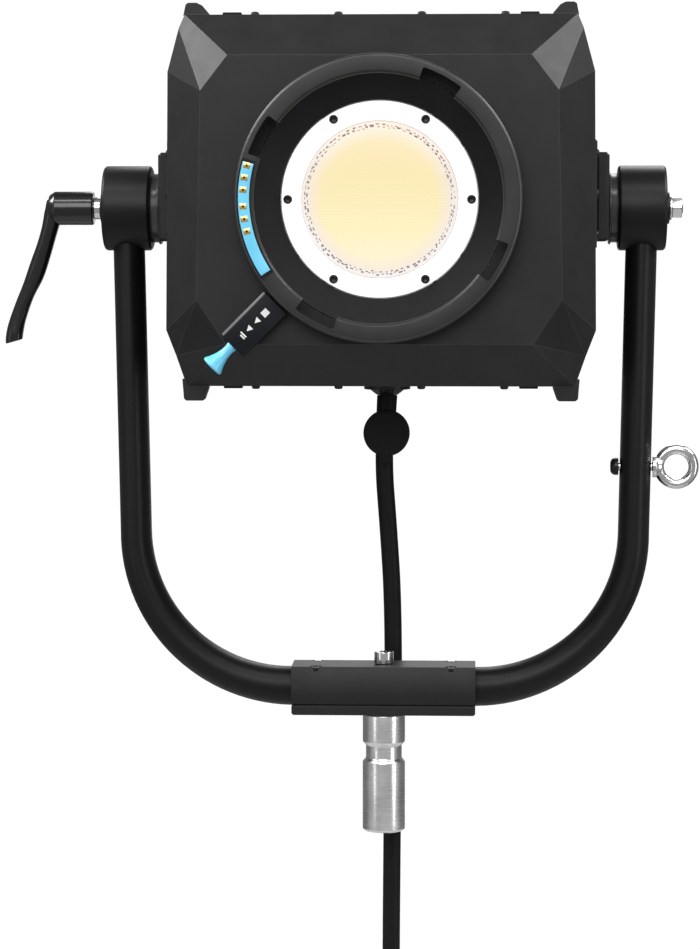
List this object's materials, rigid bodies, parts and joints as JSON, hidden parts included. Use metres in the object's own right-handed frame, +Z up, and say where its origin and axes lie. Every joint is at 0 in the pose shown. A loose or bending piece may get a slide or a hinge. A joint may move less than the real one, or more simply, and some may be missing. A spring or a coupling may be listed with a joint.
{
  "type": "spotlight head",
  "caption": "Studio spotlight head with a bare chip-on-board lamp behind a bayonet accessory ring, in a tubular tilting yoke with a clamp lever, on a stand pin.",
  "frame": {"origin": "centre of the stand pin's lower end face", "axes": "+Z up along the stand pin, -Y the way the lamp shines, +X to the right seen from the front"},
  "size_m": [0.4617, 0.2432, 0.7591],
  "materials": {
    "black_paint": "matte powder coat",
    "black_plastic": "moulded, matte",
    "gloss_black": "glass-filled nylon, satin gloss",
    "black_rubber": "matte",
    "black_steel": "black oxide",
    "bright_steel": "bright zinc or nickel plate",
    "bare_aluminium": "as extruded",
    "cyan_plastic": "moulded, satin",
    "white_plastic": "moulded, matte",
    "clear_silicone": "fine dimpled surface",
    "yellow_phosphor": "phosphor layer, lit",
    "green_board": "solder mask"
  },
  "bodies": {
    "yoke": {"yoke_arm_left": "black_paint", "yoke_arm_right": "black_paint", "yoke_hub_left": "black_paint", "yoke_hub_right": "black_paint", "clamp_upper": "black_paint", "clamp_lower": "black_paint", "clamp_screw_1": "black_steel", "clamp_screw_2": "black_steel", "clamp_screw_3": "black_steel", "clamp_screw_4": "black_steel", "stand_pin": "bright_steel", "pin_screw": "bright_steel", "pivot_bolt": "bright_steel", "pivot_washer_black": "black_plastic", "pivot_washer_steel": "bright_steel", "pivot_nut": "bright_steel", "eye_bolt": "bright_steel", "eye_bolt_nut": "black_steel", "lever_washer": "black_plastic", "head_cord": "black_rubber", "cord_connector": "black_plastic"},
    "head": {"front_bezel": "black_paint", "top_cover": "black_paint", "bottom_cover": "black_paint", "side_panel_left": "black_paint", "side_panel_right": "black_paint", "rear_cover": "black_paint", "mount_ring": "black_paint", "inner_baffle": "black_paint", "latch_housing": "black_paint", "side_rail_left": "black_paint", "side_rail_right": "black_paint", "pivot_block_left": "black_paint", "pivot_block_right": "black_paint", "fan_frame": "black_plastic", "friction_disc_left": "black_plastic", "friction_disc_right": "black_plastic", "cable_gland": "black_plastic", "strain_relief": "black_rubber", "rear_grille": "black_steel", "retainer_screw_1": "black_steel", "retainer_screw_2": "black_steel", "retainer_screw_3": "black_steel", "retainer_screw_4": "black_steel", "retainer_screw_5": "black_steel", "retainer_screw_6": "black_steel", "heat_sink": "bare_aluminium", "cob_board": "bare_aluminium", "contact_strip": "cyan_plastic", "lens_retainer": "white_plastic", "cob_lens": "clear_silicone", "cob_led": "yellow_phosphor", "driver_board": "green_board"},
    "fan": {"fan_rotor": "black_plastic"},
    "latch": {"latch_knob": "cyan_plastic"},
    "lever_core": {"lever_insert": "bright_steel", "lever_screw": "black_steel"},
    "lever_grip": {"lever_handle": "gloss_black"},
    "cap": {"dust_cap": "black_rubber"}
  },
  "joints": [
    {"name": "head_tilt", "type": "hinge", "parent": "yoke", "child": "head", "pos_m": [0, 0, 0.4165], "axis": [1, 0, 0], "range_deg": [-90, 90], "deforming": ["head_cord"]},
    {"name": "fan_spin", "type": "hinge", "parent": "head", "child": "fan", "pos_m": [0, 0.0745, 0.4165], "axis": [0, 1, 0], "continuous": true},
    {"name": "latch_pull", "type": "slide", "parent": "head", "child": "latch", "axis": [-0.7071, 0, -0.7071], "range_m": [0, 0.007], "stiffness_N_per_m": 600},
    {"name": "dust_cap_swing", "type": "hinge", "parent": "head", "child": "cap", "pos_m": [0.001, 0.021, 0.2923], "axis": [1, 0, 0], "range_deg": [-80, 0]},
    {"name": "lever_turn", "type": "hinge", "parent": "yoke", "child": "lever_core", "pos_m": [-0.19, 0, 0.4165], "axis": [1, 0, 0], "range_deg": [-100, 100]},
    {"name": "lever_lift", "type": "slide", "parent": "lever_core", "child": "lever_grip", "axis": [-1, 0, 0], "range_m": [0, 0.006], "stiffness_N_per_m": 500}
  ]
}
